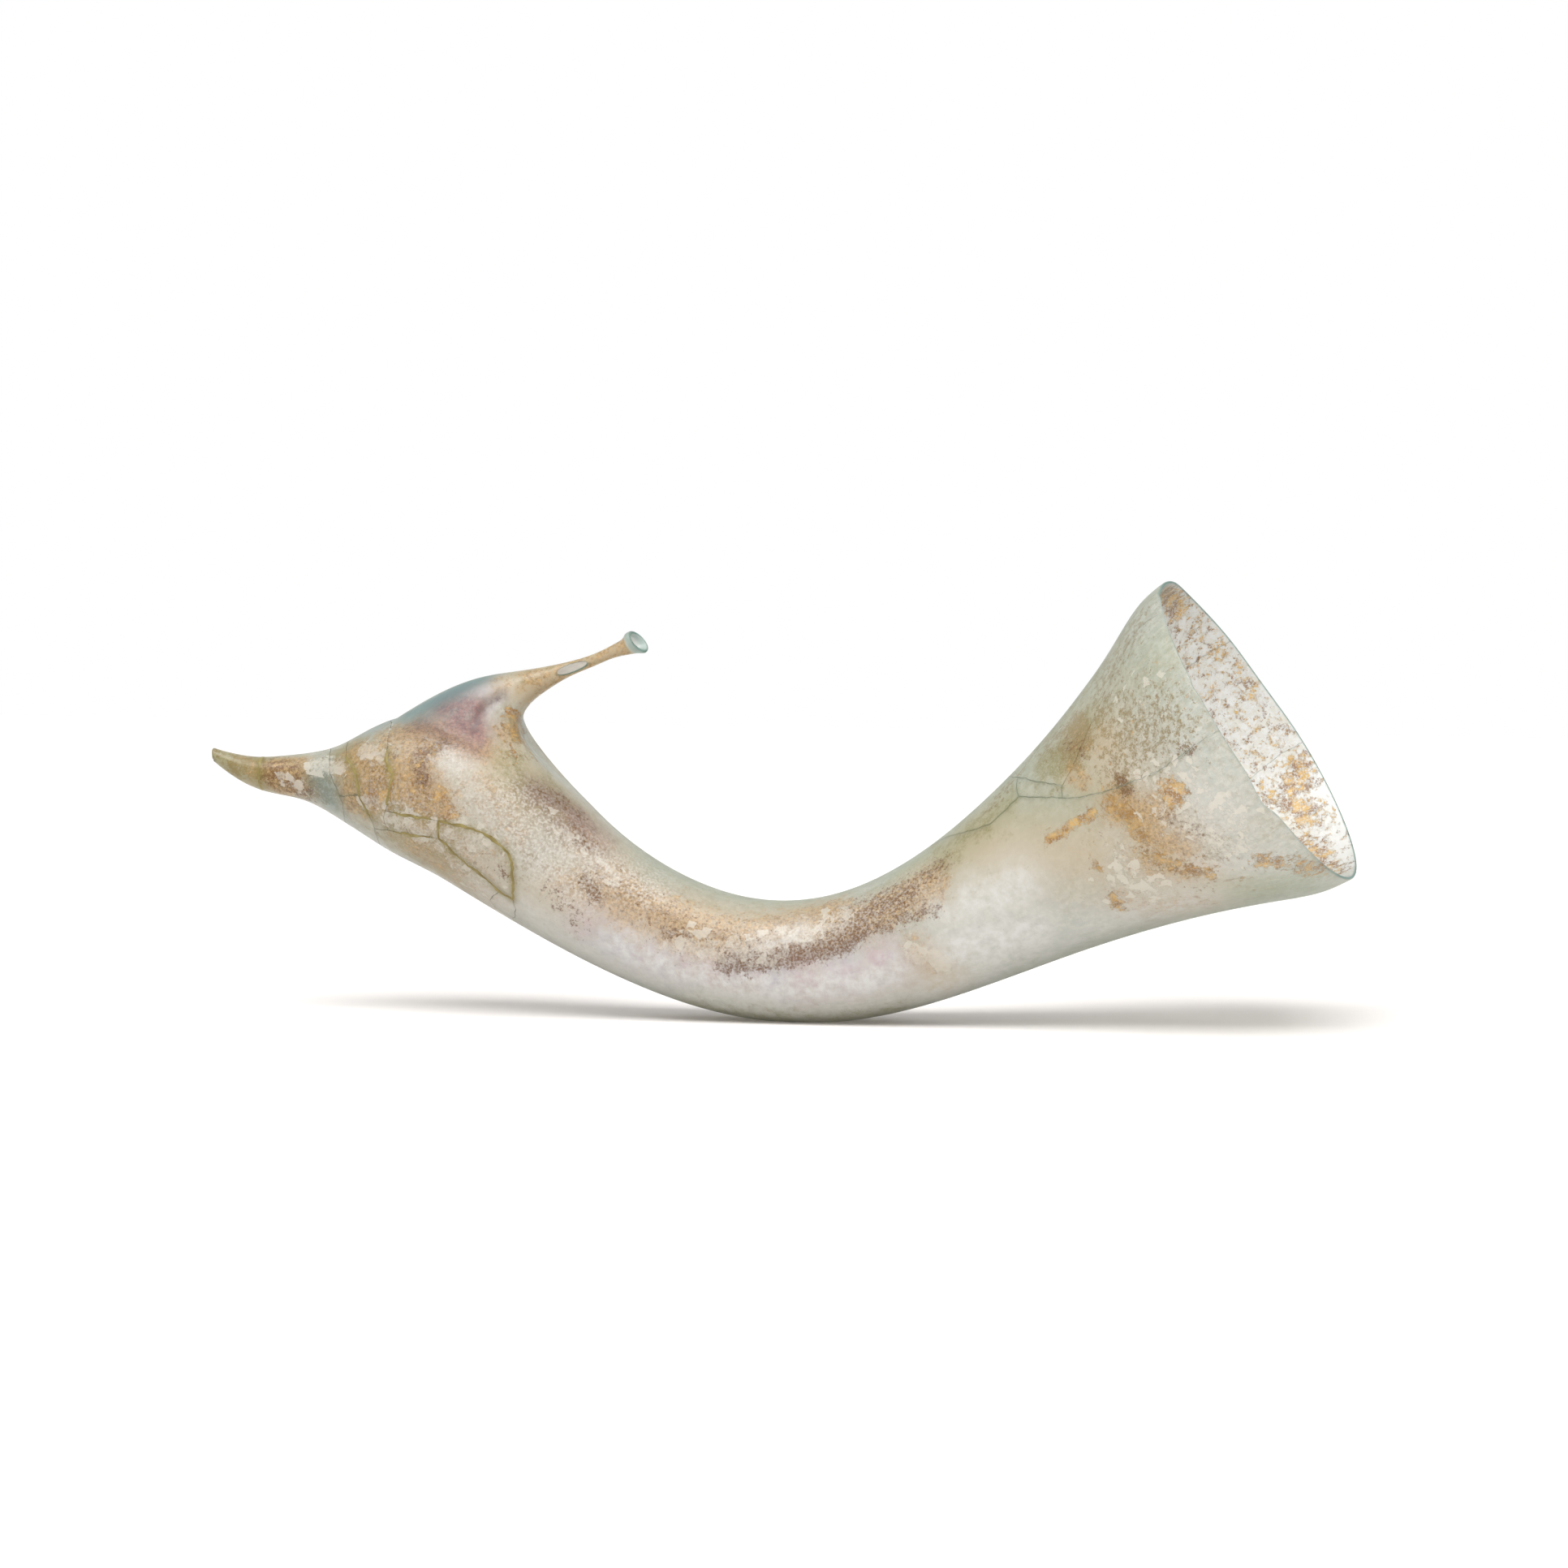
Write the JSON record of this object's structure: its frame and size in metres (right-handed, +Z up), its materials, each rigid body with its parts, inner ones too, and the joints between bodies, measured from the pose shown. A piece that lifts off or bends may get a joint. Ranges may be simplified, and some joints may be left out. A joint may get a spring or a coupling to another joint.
{
  "type": "glass rhyton",
  "caption": "Free-blown drinking horn of thin pale green glass, bent to lie on its belly, with a flared mouth, a pierced spout and a drawn-out tail, broken and mended.",
  "frame": {"origin": "middle of the small flat on the belly's underside that the rhyton lies on", "axes": "+X from the spout towards the flared mouth, +Z up, Y across the plane that the horn bends in, with the front of the picture on the -Y side"},
  "size_m": [0.2639, 0.0778, 0.1008],
  "materials": {
    "weathered_glass": "thin pale green glass, hazed, with pearly and ochre weathering",
    "dried_adhesive": "dried yellow-olive mender's adhesive, slightly translucent"
  },
  "bodies": {
    "root": {"main_body": "weathered_glass", "flare_top_sherd": "weathered_glass", "flare_front_sherd": "weathered_glass", "flare_far_sherd": "weathered_glass", "throat_top_sherd": "weathered_glass", "square_sherd": "weathered_glass", "oval_sherd": "weathered_glass", "triangle_sherd": "weathered_glass", "band_sherd": "weathered_glass", "underside_sherd": "weathered_glass", "shoulder_front_sherd": "weathered_glass", "collar_upper_sherd": "weathered_glass", "collar_lower_sherd": "weathered_glass", "spout_root": "weathered_glass", "spout_tip": "weathered_glass", "oval_join_adhesive": "dried_adhesive", "spout_join_adhesive": "dried_adhesive", "collar_join_adhesive": "dried_adhesive", "shoulder_join_adhesive": "dried_adhesive", "band_join_adhesive": "dried_adhesive", "underside_join_adhesive": "dried_adhesive"}
  },
  "joints": []
}
